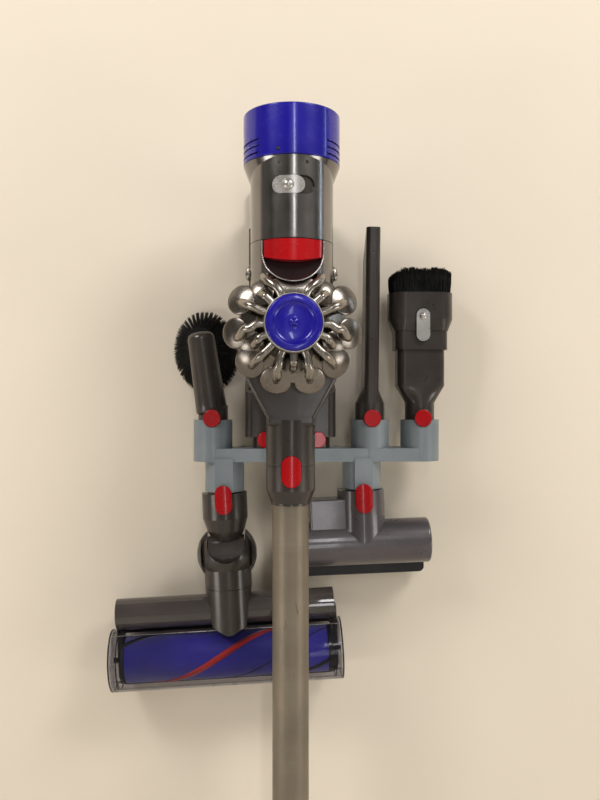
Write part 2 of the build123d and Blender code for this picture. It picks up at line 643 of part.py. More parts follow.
def mini_head_housing():
    housing = fillet(mini_rod(MINI_R, MINI_LEFT, MINI_RIGHT).edges(), 2.4).solid()
    neck_r, neck_shift = 24, -3.5
    neck = on_rail(neck_r, MINI_X, -330, MINI_PEG_END - 1.1)
    neck += on_rail(neck_r, MINI_X + neck_shift, -326, MINI_PEG_END - 1.1)
    shield = front_prism(face((MINI_X - 24, -280.1), (MINI_X + 24, -280.1), (MINI_X + 24, -316),
                              (MINI_X + 4, -337), (MINI_X - 4, -337), (MINI_X - 24, -316)), RAIL_Y, -75)
    neck += shield & on_rail(26.6, MINI_X, -340, MINI_PEG_END - 1.1)
    drive = soften(block((23, MINI_X - 16), (-62, -30), (-330, -289)), 2.5)
    housing += neck + drive
    housing -= mini_rod(MINI_INNER_R, MINI_LEFT + 3, MINI_RIGHT - 3)
    housing -= on_rail(MINI_BORE, MINI_X, MINI_SPIGOT_END - 1, MINI_PEG_END)
    housing -= on_rail(12, MINI_X, -325, MINI_PEG_END)
    housing -= block((MINI_LEFT + 6, MINI_RIGHT - 6), (-33, -15), (MINI_Z - 15, MINI_Z + 12))
    housing -= mini_rod(3.06, MINI_LEFT + 1, MINI_RIGHT - 1)
    pocket = front_prism(upright_slot(MINI_X, -288, 19.8, 33), -67.6, -75)
    return (housing - pocket).solid()


def mini_head_sole():
    plate = front_prism(Pos(79, -354) * RectangleRounded(152, 54, 6), -13, -22)
    plate -= front_prism(Pos(79, MINI_Z - 1.5) * RectangleRounded(138, 26, 4), -12, -23)
    return (plate - mini_rod(MINI_R + 0.05, 0, 165)).solid()


def mini_brush_bar():
    bar = mini_rod(15, MINI_LEFT + 4, MINI_RIGHT - 4) + mini_rod(3, MINI_LEFT + 1.3, MINI_RIGHT - 1.3)
    for turn in range(4):
        angle = math.radians(turn * 90 + 45)
        y, z = RAIL_Y + 14 * math.cos(angle), MINI_Z + 14 * math.sin(angle)
        bar += rod(7, (MINI_LEFT + 5, y, z), (MINI_RIGHT - 5, y, z))
    return bar.solid()


def peg_button(x, z, width, height):
    """The oval release button on a head's cuff, reaching up over its peg."""
    button = front_prism(upright_slot(x, z, width, height), RAIL_Y - 24.2, RAIL_Y - 30)
    return (button & on_rail(27.6, x, z - 30, z + 30)).solid()


# ---- Main floor head ----
def head_rod(radius, z, left, right):
    """A cylinder along the main head."""
    return rod(radius, (left, HEAD_Y, z), (right, HEAD_Y, z))


def head_cuff():
    cuff = on_rail(25, MAIN_X, -311, MAIN_PEG_END - 1.5)
    cuff += taper((MAIN_X, RAIL_Y, -325), 21, (MAIN_X, RAIL_Y, -311), 25)
    cuff += taper((MAIN_X, RAIL_Y, -336), 15, (MAIN_X, RAIL_Y, -325), 21)
    cuff -= on_rail(HEAD_BORE, MAIN_X, MAIN_SPIGOT_END - 1.2, MAIN_PEG_END)
    cuff -= on_rail(12, MAIN_X, -340, MAIN_PEG_END)
    cuff -= pivot_rod(BARREL_R + 0.02, -30, 30)
    cuff -= pivot_rod(26.5, 19.8, 40) + pivot_rod(26.5, -40, -19.8)
    pocket = front_prism(upright_slot(MAIN_X, HEAD_BUTTON_Z, 19.2, 32.6), -67.6, -75)
    return (cuff - pocket).solid()


def pivot_rod(radius, left, right):
    """A cylinder across the main head's neck joint."""
    return rod(radius, (MAIN_X + left, RAIL_Y, PIVOT_Z), (MAIN_X + right, RAIL_Y, PIVOT_Z))


def turned_on_pivot(*edges):
    """A closed outline above the neck joint's axis, turned all the way about it."""
    plane = Plane(origin=(MAIN_X, RAIL_Y, PIVOT_Z), x_dir=(1, 0, 0), z_dir=(0, -1, 0))
    axis = Axis((MAIN_X, RAIL_Y, PIVOT_Z), (1, 0, 0))
    return revolve(plane * make_face(list(edges)), axis, 360).solid()


def head_ball():
    return (pivot_rod(BARREL_R, -20, 20) - pivot_rod(13, -17, 17)).solid()


def head_yoke():
    ball_r, fork_half, gap_half, gap_z = 30.5, 27.4, 20.8, -337
    rim = math.sqrt(ball_r ** 2 - fork_half ** 2)
    fork = turned_on_pivot(ThreePointArc((-fork_half, rim), (0, ball_r), (fork_half, rim)),
                           Polyline((fork_half, rim), (fork_half, 0), (-fork_half, 0), (-fork_half, rim)))
    fork += on_rail(26, MAIN_X, STEER_Z + 0.2, PIVOT_Z - 14)
    for side in (-1, 1):
        inner, outer, cheek_r = side * 21.2, side * 33, 25
        crown = side * 22.1
        edges = Polyline((outer, 5), (outer, 0), (inner, 0), (inner, cheek_r), (crown, cheek_r))
        cheek = turned_on_pivot(edges, ThreePointArc((crown, cheek_r), (side * 29, 16.6), (outer, 5)))
        front = block((MAIN_X - fork_half - 0.5, MAIN_X + fork_half + 0.5), (-80, -52), (-390, -310))
        fork += (cheek - front).solid()
    gap = Pos(MAIN_X, gap_z) * Circle(gap_half) + Pos(MAIN_X, gap_z + 15) * Rectangle(2 * gap_half, 30)
    fork -= front_prism(gap, -5, -85)
    fork -= pivot_rod(BARREL_R + 0.5, 0.1 - gap_half, gap_half - 0.1)
    hollow = on_rail(12, MAIN_X, -394, -378)
    return (fork - hollow).solid()


def head_tongue():
    neck = on_rail(26, MAIN_X, -438.2, STEER_Z - 0.2)
    half = ((26, STEER_Z), (25, -394), (22, -401.5), (20.3, -415), (18.6, -428.5))
    right = [(MAIN_X + x, z) for x, z in half]
    left = [(MAIN_X - x, z) for x, z in half]
    shield = face(*right, (MAIN_X + 3, -436.8), (MAIN_X - 3, -436.8), *left[::-1])
    neck &= front_prism(shield, -27.3, -82)
    neck -= head_rod(TUBE_R + 0.05, TUBE_Z, HEAD_LEFT, HEAD_RIGHT)
    neck -= head_rod(WINDOW_R + 0.2, WINDOW_Z, HEAD_LEFT, HEAD_RIGHT)
    return max(neck.solids(), key=lambda piece: piece.volume)


def head_rear_tube():
    outer = head_rod(TUBE_R, TUBE_Z, HEAD_LEFT + 7.5, HEAD_RIGHT - 7)
    return (outer - head_rod(TUBE_R - 2, TUBE_Z, HEAD_LEFT + 10, HEAD_RIGHT - 9.5)).solid()


def head_housing():
    centre, width = (HEAD_LEFT + HEAD_RIGHT) / 2, HEAD_RIGHT - HEAD_LEFT
    plate = front_prism(Pos(centre, -455.3) * RectangleRounded(width - 5, 84.5, 10), -13, -27)
    plate -= front_prism(Pos(centre, WINDOW_Z) * RectangleRounded(width - 20, 50, 4), -12, -28)
    return (plate - head_rod(TUBE_R + 0.05, TUBE_Z, HEAD_LEFT, HEAD_RIGHT)).solid()


def head_window():
    shell = head_rod(WINDOW_R, WINDOW_Z, HEAD_LEFT, HEAD_RIGHT)
    shell -= head_rod(WINDOW_R - 2, WINDOW_Z, HEAD_LEFT + 2.5, HEAD_RIGHT - 2.5)
    shell -= head_rod(3.06, WINDOW_Z, HEAD_LEFT - 1, HEAD_RIGHT + 1)
    shell &= block((HEAD_LEFT, HEAD_RIGHT), (-90, -27.1), (-500, -428))
    return shell.solid()


def head_brush_bar():
    axle = head_rod(3, WINDOW_Z, HEAD_LEFT + 0.5, HEAD_RIGHT - 0.5)
    return (head_rod(ROLLER_R, WINDOW_Z, HEAD_LEFT + 11, HEAD_RIGHT - 11) + axle).solid()


def build_all():
    """Every sub-part by its node name."""
    parts = {build.__name__: build for build in (
        dock_plate, dock_cradle, tool_rail, motor_casing, lower_casing, motor_stator, motor_impeller,
        control_board, inlet_neck, clear_bin, handle_left, handle_right, battery_case, battery_cells,
        battery_screws, trigger, post_filter_cap, post_filter_media, power_slider, bin_door,
        bin_door_seal, cyclone_cover, cyclone_cones, shroud_mesh, shroud_wiper, lever_recess,
        eject_lever, filter_lid, filter_sleeve, wand_tube, wand_collar, wand_foot, wand_button,
        dusting_brush_body, dusting_brush_bristles, crevice_tool, combi_nozzle, combi_brush_sleeve,
        combi_bristles, combi_catch, mini_head_housing, mini_head_sole, mini_brush_bar, head_cuff,
        head_ball, head_yoke, head_tongue, head_rear_tube, head_housing, head_window, head_brush_bar)}
    solids = {name: build() for name, build in parts.items()}
    solids["dusting_brush_button"] = socket_button(TOOL_X[0])
    solids["stair_tool_body"] = centre_tool(TOOL_X[1], 45)
    solids["stair_tool_button"] = centre_button(TOOL_X[1])
    solids["upholstery_tool_body"] = centre_tool(TOOL_X[2], 41)
    solids["upholstery_tool_button"] = centre_button(TOOL_X[2])
    solids["crevice_tool_button"] = socket_button(TOOL_X[3])
    solids["combi_button"] = socket_button(TOOL_X[4])
    solids["mini_head_button"] = peg_button(MINI_X, -288, 19, 32)
    solids["head_button"] = peg_button(MAIN_X, HEAD_BUTTON_Z, 18.4, 31.6)
    for name in solids:
        if name.startswith("mini_"):
            solids[name] = hang(solids[name], MINI_X, MINI_TILT_Z, MINI_TILT)
        if name.startswith("head_"):
            solids[name] = hang(solids[name], MAIN_X, HEAD_TILT_Z, HEAD_TILT)
    return solids


os.makedirs("parts", exist_ok=True)
for name, solid in build_all().items():
    export_step(solid, f"parts/{name}.step")
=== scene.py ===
import math
import random

import bpy
from mathutils import Matrix, Vector


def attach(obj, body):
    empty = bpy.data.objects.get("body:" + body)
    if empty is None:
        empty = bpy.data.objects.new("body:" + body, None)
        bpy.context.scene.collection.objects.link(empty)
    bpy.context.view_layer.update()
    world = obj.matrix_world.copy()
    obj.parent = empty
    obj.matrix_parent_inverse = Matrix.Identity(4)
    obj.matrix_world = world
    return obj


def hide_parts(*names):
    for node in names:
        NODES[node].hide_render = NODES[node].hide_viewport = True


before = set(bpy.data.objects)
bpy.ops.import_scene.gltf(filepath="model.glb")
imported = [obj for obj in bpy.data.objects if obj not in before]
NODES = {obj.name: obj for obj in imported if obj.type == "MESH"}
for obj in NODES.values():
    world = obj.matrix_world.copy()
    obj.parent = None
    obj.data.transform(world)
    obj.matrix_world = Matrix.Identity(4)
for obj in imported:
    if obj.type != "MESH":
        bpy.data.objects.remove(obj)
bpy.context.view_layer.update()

MM = 0.001

# Places on the object, in millimetres: X to the right, -Y out of the wall, Z up.
PACK_Z = -110.2
CASING_R, CASING_Y, SEAM_Z = 40.0, -167.0, -30.0
RECESS_R, RECESS_Z = 28.9, -41.4
CAP_R, CAP_Y = 47.0, -160.0
CAP_MARK_X, CAP_MARK_Z = -14.0, 52.5
LUG_Y = -161
WAND_Y, SCUFF_R = -127, 18.62
RAIL_Y, BUTTON_Z = -45.0, -200
DUSTING_X, CREVICE_X, COMBI_X = -84, 92, 148.4
HEAD_Y, ROLLER_Z = -44.0, -464.0
MINI_Z = -340.0
WINDOW_LEFT, WINDOW_RIGHT = -203.4, 52.1


# ---- Materials ----
def linear(*rgb):
    """Screen colour from 0 to 255 as scene-linear RGBA."""
    parts = [c / 255 for c in rgb]
    return [c / 12.92 if c <= 0.04045 else ((c + 0.055) / 1.055) ** 2.4 for c in parts] + [1.0]


class Nodes:
    """Short names for the nodes that the materials here share."""

    def __init__(self, name):
        self.material = bpy.data.materials.new(name)
        self.material.use_nodes = True
        self.tree = self.material.node_tree
        self.shader = self.tree.nodes["Principled BSDF"]
        self.output = self.tree.nodes["Material Output"]
        self.coords = self.tree.nodes.new("ShaderNodeTexCoord").outputs["Object"]

    def add(self, kind, **inputs):
        node = self.tree.nodes.new("ShaderNode" + kind)
        for key, value in inputs.items():
            self.set(node.inputs[key.replace("_", " ")], value)
        return node

    def set(self, socket, value):
        if isinstance(value, bpy.types.NodeSocket):
            self.tree.links.new(value, socket)
        else:
            socket.default_value = value

    def noise(self, scale, detail=2.0, stretch=None, turn=(0, 0, 0)):
        """Noise from 0 to 1, with stretch multiplying its scale along each axis."""
        vector = self.coords
        if stretch:
            mapping = self.add("Mapping", Vector=vector, Scale=stretch, Rotation=turn)
            vector = mapping.outputs["Vector"]
        return self.add("TexNoise", Vector=vector, Scale=scale, Detail=detail).outputs["Fac"]

    def span(self, value, low, high, to_low=0.0, to_high=1.0):
        node = self.add("MapRange", Value=value, From_Min=low, From_Max=high, To_Min=to_low, To_Max=to_high)
        return node.outputs["Result"]

    def maths(self, operation, a, b):
        node = self.tree.nodes.new("ShaderNodeMath")
        node.operation = operation
        self.set(node.inputs[0], a)
        self.set(node.inputs[1], b)
        return node.outputs[0]

    def blend(self, factor, a, b):
        node = self.tree.nodes.new("ShaderNodeMix")
        node.data_type = "RGBA"
        self.set(node.inputs["Factor"], factor)
        self.set(node.inputs["A"], a)
        self.set(node.inputs["B"], b)
        return node.outputs["Result"]

    def relief(self, height, strength, distance):
        node = self.add("Bump", Height=height, Strength=strength, Distance=distance)
        self.set(self.shader.inputs["Normal"], node.outputs["Normal"])

    def mix_surfaces(self, factor, first, second):
        node = self.add("MixShader", Fac=factor)
        self.set(node.inputs[1], first.outputs[0])
        self.set(node.inputs[2], second.outputs[0])
        self.set(self.output.inputs["Surface"], node.outputs[0])


def surface(name, colour, tint, rough, metallic=0.0, grain=900.0, bump=0.08, scuff=0.12,
            streak=(40, 40, 500), coat=0.0, coat_rough=0.06, sheen=0.0, specular=0.5, flake=0.0):
    """A solid finish: two tones in soft patches, a moulded or brushed grain, faint rubbed streaks."""
    n = Nodes(name)
    patches = n.noise(16, 4)
    fine = n.noise(grain, 2)
    rubbed = n.span(n.noise(1.6, 5, streak, (0.3, 0.5, 0.2)), 0.6, 0.78)
    rubbed = n.maths("MULTIPLY", rubbed, scuff)
    tone = n.blend(n.span(patches, 0.35, 0.65), linear(*colour), linear(*tint))
    if flake:
        sparkle = n.span(n.noise(2600, 1), 0.55, 0.8, 0.0, flake)
        tone = n.blend(sparkle, tone, linear(*[min(255, c + 60) for c in colour]))
    tone = n.blend(rubbed, tone, linear(*[min(255, c + 45) for c in tint]))
    n.set(n.shader.inputs["Base Color"], tone)
    uneven = n.span(n.noise(70, 4), 0.3, 0.7, *rough)
    n.set(n.shader.inputs["Roughness"], n.maths("ADD", uneven, n.maths("MULTIPLY", rubbed, 0.5)))
    height = n.maths("ADD", fine, rubbed)
    n.relief(height, bump, 0.0002)
    n.shader.inputs["Metallic"].default_value = metallic
    n.shader.inputs["Specular IOR Level"].default_value = specular
    n.shader.inputs["Coat Weight"].default_value = coat
    n.shader.inputs["Coat Roughness"].default_value = coat_rough
    n.shader.inputs["Sheen Weight"].default_value = sheen
    return n.material


def see_through(name, tint, body, least, most):
    """A thin clear plastic: open in the middle, more solid towards its edges, glossy all over."""
    n = Nodes(name)
    n.set(n.shader.inputs["Base Color"], n.blend(n.span(n.noise(20, 3), 0.3, 0.7), linear(*body),
                                                 linear(*[c * 0.85 for c in body])))
    n.set(n.shader.inputs["Roughness"], n.span(n.noise(90, 4), 0.3, 0.7, 0.03, 0.08))
    n.relief(n.noise(14, 2), 0.04, 0.001)
    n.shader.inputs["Coat Weight"].default_value = 1.0
    n.shader.inputs["Coat Roughness"].default_value = 0.03
    clear = n.add("BsdfTransparent", Color=linear(*tint))
    facing = n.add("LayerWeight", Blend=0.25).outputs["Facing"]
    dust = n.span(n.noise(35, 5), 0.55, 0.8, 0.0, 0.03)
    solid = n.maths("ADD", n.span(n.maths("POWER", facing, 1.6), 0.0, 1.0, least, most), dust)
    n.mix_surfaces(solid, clear, n.shader)
    return n.material


def dotted(name, colour, hole, pitch):
    """Sheet metal with a close pattern of round holes."""
    n = Nodes(name)
    cells = n.add("TexVoronoi", Vector=n.coords, Scale=1 / pitch, Randomness=0.15)
    holes = n.span(cells.outputs["Distance"], 0.28, 0.34)
    n.set(n.shader.inputs["Base Color"], n.blend(holes, linear(*hole), linear(*colour)))
    n.set(n.shader.inputs["Roughness"], n.span(n.noise(80, 3), 0.3, 0.7, 0.25, 0.4))
    n.relief(holes, 0.6, 0.0004)
    n.set(n.shader.inputs["Metallic"], holes)
    return n.material


def woven(name, colour, tint, pitch):
    """Cloth or felt with crossing threads."""
    n = Nodes(name)
    across = n.add("TexWave", Vector=n.coords, Scale=1 / pitch, Distortion=0.6, Detail=2.0)
    along = n.add("TexWave", Vector=n.coords, Scale=1 / pitch, Distortion=0.6, Detail=2.0)
    along.bands_direction = "Z"
    weave = n.maths("MULTIPLY", across.outputs["Fac"], along.outputs["Fac"])
    tone = n.blend(weave, linear(*tint), linear(*colour))
    worn = n.span(n.noise(30, 4), 0.4, 0.7, 0, 0.3)
    n.set(n.shader.inputs["Base Color"], n.blend(worn, tone, linear(*tint)))
    n.set(n.shader.inputs["Roughness"], n.span(weave, 0, 1, 0.95, 0.8))
    n.relief(weave, 0.5, 0.0003)
    n.shader.inputs["Sheen Weight"].default_value = 0.4
    return n.material


FINISH = {
    "silver_casing": surface("silver_casing", (134, 131, 129), (118, 114, 111), (0.19, 0.26), metallic=1.0,
                             grain=1800, bump=0.02, scuff=0.06, coat=0.5, coat_rough=0.05, flake=0.25),
    "violet_gloss": surface("violet_gloss", (30, 22, 158), (24, 18, 142), (0.2, 0.3), metallic=0.1,
                            grain=700, bump=0.02, scuff=0.03, coat=0.4, coat_rough=0.06, specular=0.3,
                            flake=0.1),
    "red_gloss": surface("red_gloss", (182, 0, 12), (162, 0, 9), (0.22, 0.32), grain=500, bump=0.02,
                         scuff=0.03, coat=0.35, coat_rough=0.06, specular=0.3),
    "pewter_metallic": surface("pewter_metallic", (138, 132, 124), (114, 108, 101), (0.2, 0.3),
                               metallic=1.0, grain=1500, bump=0.04, scuff=0.08, flake=0.2),
    "dark_grey": surface("dark_grey", (66, 60, 55), (54, 48, 44), (0.27, 0.38), metallic=0.3, grain=1100,
                         bump=0.05, scuff=0.1, coat=0.25, coat_rough=0.14),
    "head_grey": surface("head_grey", (94, 89, 92), (80, 75, 78), (0.26, 0.36), metallic=0.35, grain=1400,
                         bump=0.02, scuff=0.06, coat=0.4, coat_rough=0.08, flake=0.15),
    "wand_metal": surface("wand_metal", (138, 128, 111), (122, 113, 98), (0.44, 0.54), metallic=0.6,
                          grain=1600, bump=0.05, scuff=0.2, streak=(14, 14, 160)),
    "rail_grey": surface("rail_grey", (140, 149, 153), (124, 133, 138), (0.3, 0.42), metallic=0.1,
                         grain=1300, bump=0.06, scuff=0.08),
    "dock_grey": surface("dock_grey", (58, 57, 58), (46, 45, 46), (0.4, 0.54), grain=1300, bump=0.12),
    "bristle_black": surface("bristle_black", (16, 15, 15), (8, 8, 8), (0.45, 0.6), grain=1500, bump=0.1,
                             scuff=0.03, specular=0.25),
    "recess_maroon": surface("recess_maroon", (62, 2, 6), (44, 1, 4), (0.3, 0.4), grain=500, bump=0.02,
                             scuff=0.03, specular=0.25),
    "slider_silver": surface("slider_silver", (206, 204, 200), (188, 186, 182), (0.24, 0.34), metallic=0.75,
                             grain=1500, bump=0.03, scuff=0.06),
    "rubber_black": surface("rubber_black", (24, 23, 23), (16, 16, 16), (0.55, 0.75), grain=1500, bump=0.15,
                            scuff=0.08, specular=0.3),
    "steel": surface("steel", (190, 188, 184), (168, 166, 162), (0.2, 0.34), metallic=1.0, grain=2000,
                     bump=0.05, streak=(500, 20, 500)),
    "impeller_plastic": surface("impeller_plastic", (60, 60, 64), (44, 44, 48), (0.35, 0.5), grain=1200),
    "cell_wrap": surface("cell_wrap", (60, 130, 160), (46, 112, 142), (0.3, 0.45), grain=900, bump=0.04),
    "board_green": surface("board_green", (30, 92, 52), (22, 76, 42), (0.35, 0.5), grain=700, bump=0.2),
    "roller_violet": surface("roller_violet", (50, 42, 168), (34, 28, 130), (0.5, 0.7), grain=2200, bump=0.5,
                             scuff=0.15, streak=(60, 400, 400), sheen=0.4),
    "roller_black": surface("roller_black", (26, 25, 28), (16, 16, 18), (0.45, 0.6), grain=1600, bump=0.3),
    "clear_plastic": see_through("clear_plastic", (240, 240, 244), (44, 42, 46), 0.05, 0.75),
    "smoke_plastic": see_through("smoke_plastic", (158, 150, 146), (92, 85, 82), 0.62, 0.95),
    "filter_cloth": woven("filter_cloth", (226, 226, 222), (190, 190, 186), 0.0012),
}
NICKEL = surface("bright_nickel", (166, 160, 151), (142, 136, 128), (0.22, 0.3), metallic=1.0, grain=1400,
                 bump=0.03, scuff=0.08)
# Black for print, scratches, the seam and the sole, and also painted shade along the clear window's edges.
INK_AND_SHADE = surface("black_ink_and_painted_shade", (16, 15, 16), (10, 10, 10), (0.3, 0.45), grain=900, bump=0.05, scuff=0.02)
STRIPE_RED = surface("stripe_red", (214, 44, 26), (186, 26, 20), (0.5, 0.7), grain=2200, bump=0.5,
                     streak=(300, 300, 300), sheen=0.3)
SHROUD = dotted("shroud_metal", (150, 148, 146), (14, 14, 15), 0.0017)

for node in NODES.values():
    for place in node.material_slots:
        place.material = FINISH[place.material.name.split(".")[0]]
for node_name, finish in (("shroud_mesh", SHROUD), ("mini_head_sole", INK_AND_SHADE)):
    for place in NODES[node_name].material_slots:
        place.material = finish


# ---- Mesh helpers, in millimetres ----
def piece(name, verts, faces, material, body, slot_name, stands_for=(), flat=False):
    mesh = bpy.data.meshes.new(name)
    mesh.from_pydata([Vector(v) * MM for v in verts], [], faces)
    mesh.validate()
    mesh.update()
    mesh.materials.append(material)
    mesh.polygons.foreach_set("use_smooth", [not flat] * len(mesh.polygons))
    thing = bpy.data.objects.new(name, mesh)
    bpy.context.scene.collection.objects.link(thing)
    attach(thing, body)
    if stands_for:
        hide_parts(*stands_for)
    return thing


def grid_faces(rows, across):
    """Quads over points that are listed row by row."""
    return [(i * across + k, i * across + k + 1, (i + 1) * across + k + 1, (i + 1) * across + k)
            for i in range(rows) for k in range(across - 1)]


def round_faces(rows, sides):
    """Quads round a tube whose rings of points are listed one after another."""
    return [(i * sides + k, i * sides + (k + 1) % sides, (i + 1) * sides + (k + 1) % sides, (i + 1) * sides + k)
            for i in range(rows) for k in range(sides)]


class Build:
    """Vertices and faces gathered from several shapes into one mesh."""

    def __init__(self):
        self.verts, self.faces = [], []

    def add(self, verts, faces):
        start = len(self.verts)
        self.verts += [Vector(v) for v in verts]
        self.faces += [tuple(start + i for i in f) for f in faces]

    def lathe(self, origin, axis, profile, sides=48):
        """Turns (radius, height) points about an axis."""
        axis = Vector(axis).normalized()
        side = axis.orthogonal().normalized()
        other = axis.cross(side)
        verts = []
        for radius, height in profile:
            for k in range(sides):
                a = math.tau * k / sides
                out = side * math.cos(a) + other * math.sin(a)
                verts.append(Vector(origin) + axis * height + out * radius)
        self.add(verts, round_faces(len(profile) - 1, sides))

    def tube(self, points, radii, sides=20):
        """A round tube through the points, with its own radius at each."""
        points = [Vector(p) for p in points]
        tangent = (points[1] - points[0]).normalized()
        side = tangent.orthogonal().normalized()
        verts = []
        for i, point in enumerate(points):
            ahead = (points[min(i + 1, len(points) - 1)] - points[max(i - 1, 0)]).normalized()
            side = (side - ahead * side.dot(ahead)).normalized()
            up = ahead.cross(side)
            for k in range(sides):
                a = math.tau * k / sides
                verts.append(point + (side * math.cos(a) + up * math.sin(a)) * radii[i])
        faces = round_faces(len(points) - 1, sides)
        faces.append(tuple(range(sides))[::-1])
        faces.append(tuple(range(len(points) * sides - sides, len(points) * sides)))
        self.add(verts, faces)

    def hair(self, root, tip, radius, bend):
        """One tapered bristle of three sides that bends sideways on its way."""
        root, tip = Vector(root), Vector(tip)
        middle = (root + tip) / 2 + Vector(bend)
        side = (tip - root).orthogonal().normalized()
        other = side.cross((tip - root).normalized())
        verts = []
        for centre, r in ((root, radius), (middle, radius * 0.85), (tip, radius * 0.4)):
            for k in range(3):
                a = math.tau * k / 3
                verts.append(centre + (side * math.cos(a) + other * math.sin(a)) * r)
        faces = [(r + k, r + (k + 1) % 3, r + 3 + (k + 1) % 3, r + 3 + k) for r in (0, 3) for k in range(3)]
        self.add(verts, faces + [(6, 7, 8)])

    def make(self, *settings, **more):
        return piece(settings[0], self.verts, self.faces, *settings[1:], **more)


def smooth_path(points, steps=8):
    """A Catmull-Rom curve through the points."""
    points = [Vector(p) for p in points]
    ends = [points[0] * 2 - points[1]] + points + [points[-1] * 2 - points[-2]]
    path = []
    for i in range(1, len(ends) - 2):
        a, b, c, d = ends[i - 1:i + 3]
        for step in range(steps):
            t = step / steps
            path.append(0.5 * (2 * b + (c - a) * t + (2 * a - 5 * b + 4 * c - d) * t * t
                               + (3 * b - a - 3 * c + d) * t ** 3))
    return path + [points[-1]]


def leaned(points, x, z, degrees):
    """The points turned about a line along Y, as a tool or head leans where it hangs."""
    turn = Matrix.Rotation(math.radians(degrees), 3, "Y")
    centre = Vector((x, 0, z))
    return [centre + turn @ (Vector(p) - centre) for p in points]


def on_pack(angle, radius, y):
    """The point at an angle, in degrees, and a radius about the cyclone pack's axis."""
    turn = math.radians(angle)
    return Vector((radius * math.cos(turn), y, PACK_Z + radius * math.sin(turn)))


# ---- Cyclone pack: cones, discs and the bent fingers over them ----
# Angles of each finger at the hub, of its tip and of its cone, and whether the cone is a short one.
FINGERS = ((-90, -90, -90, True), (-67.8, -73, -72.5, False), (-45.6, -44.5, -41, False),
           (-23.4, -28, -24.4, True), (-1.2, -12.5, -7.8, False), (21, 23, 26.5, False),
           (43.2, 43, 45.2, True))
# Radius of a cone's foot, radius and Y of its top, radius of its disc, and where its finger bends and ends.
SHORT_CONE, LONG_CONE = (35, 41.8, -197, 12.5, 38, 41), (45, 53.4, -192, 14.6, 46, 53)
CONE_FOOT_Y, FINGER_FOOT_Y = -178, -216.3
BOTH_SIDES = list(FINGERS) + [(-180 - h, -180 - t, -180 - c, s) for h, t, c, s in FINGERS if h != -90]


def rounded_end(count, radius, taper=0.0):
    """Radii along a finger, drawn in to a round end."""
    radii = [radius - taper * i / count for i in range(count)]
    for i, share in enumerate((0.5, 0.78, 0.92, 0.98)):
        radii[count - 1 - i] *= share
    return radii


discs, fingers = Build(), Build()
for hub_angle, tip_angle, cone_angle, short in BOTH_SIDES:
    foot_r, top_r, top_y, disc_r, knee, reach = SHORT_CONE if short else LONG_CONE
    base, top = on_pack(cone_angle, foot_r, CONE_FOOT_Y), on_pack(cone_angle, top_r, top_y)
    lean = top - base
    deep = lean.length
    discs.lathe(base, lean, [(7, 0), (disc_r - 1.2, deep - 1.4), (disc_r - 0.3, deep - 0.4),
                             (disc_r, deep + 0.3), (disc_r, deep + 1.0), (disc_r - 0.5, deep + 1.5),
                             (disc_r - 1.6, deep + 1.9), (6, deep + 3.4), (3, deep + 3.8),
                             (0.02, deep + 3.9)], 64)
    height = top.y - 3.6
    middle = (hub_angle + tip_angle) / 2
    route = smooth_path([on_pack(hub_angle, 26, FINGER_FOOT_Y), on_pack(hub_angle, 33, -216.6),
                         on_pack(middle, (33 + knee) / 2, -216.4), on_pack(middle, knee - 1.0, -213.6),
                         on_pack(tip_angle, (knee + reach) / 2 + 0.6, (height - 213.6) / 2 - 1.6),
                         on_pack(tip_angle, reach, height), on_pack(tip_angle, reach + 1.2, height + 4)])
    fingers.tube(route, rounded_end(len(route), 4.15, 0.25), 24)
for mirror in (1, -1):
    hub_angle, tip_angle = 90 - mirror * 24.6, 90 - mirror * 31.1
    route = smooth_path([on_pack(hub_angle, 26, FINGER_FOOT_Y), on_pack(hub_angle, 33, -216.6),
                         on_pack((hub_angle + tip_angle) / 2, 40, -214.5), on_pack(tip_angle, 47, -209.5),
                         on_pack(tip_angle, 51, -203), on_pack(tip_angle, 52, -198)])
    fingers.tube(route, rounded_end(len(route), 4.1), 24)
discs.make("cyclone_discs", FINISH["pewter_metallic"], "cyclone_pack", "pewter_metallic",
           stands_for=("cyclone_cover",))
fingers.make("cyclone_fingers", NICKEL, "cyclone_pack", "pewter_metallic", stands_for=("cyclone_cover",))

hub = Build()
hub.lathe((0, 0, PACK_Z), (0, -1, 0),
          [(24.6, 173.6), (24.6, 220.8), (25.1, 221.4), (27.0, 221.4), (27.6, 220.8), (27.9, 213), (28.4, 206),
           (30.2, 198), (33, 190), (36, 180), (50.0, 178.4), (50.4, 177.6), (50.4, 173.6), (24.6, 173.6)], 96)
hub.make("cyclone_hub", FINISH["pewter_metallic"], "cyclone_pack", "pewter_metallic",
         stands_for=("cyclone_cover",))

saddle = Build()
SADDLE_STEPS, SADDLE_SPAN = 24, 54
rows = []
for i in range(SADDLE_STEPS + 1):
    angle = 90 + (i / SADDLE_STEPS - 0.5) * SADDLE_SPAN
    inner = on_pack(angle, 28.5, -205.5)
    sideways = min(abs(on_pack(angle, 45, 0).x), RECESS_R - 1)
    rim_z = RECESS_Z - math.sqrt((RECESS_R + 0.5) ** 2 - sideways ** 2)
    reach = min(46.0, (rim_z - PACK_Z) / math.sin(math.radians(angle)))
    outer = on_pack(angle, reach - 0.6, -203.0)
    rows.append((inner, (inner + outer) / 2 + Vector((0, 1.6, 0)), outer, outer + Vector((0, 0.6, 0.5)),
                 outer + Vector((0, 24, 0.5))))
saddle.add([v for row in rows for v in row], grid_faces(SADDLE_STEPS, 5))
saddle.make("cyclone_saddle", NICKEL, "cyclone_pack", "pewter_metallic", stands_for=("cyclone_cover",))


# ---- Trim on the vacuum ----
def on_casing(x, z, proud=0.0):
    """The point on the front of the motor casing at X and Z."""
    return Vector((x, CASING_Y - math.sqrt(CASING_R ** 2 - x ** 2) - proud, z))


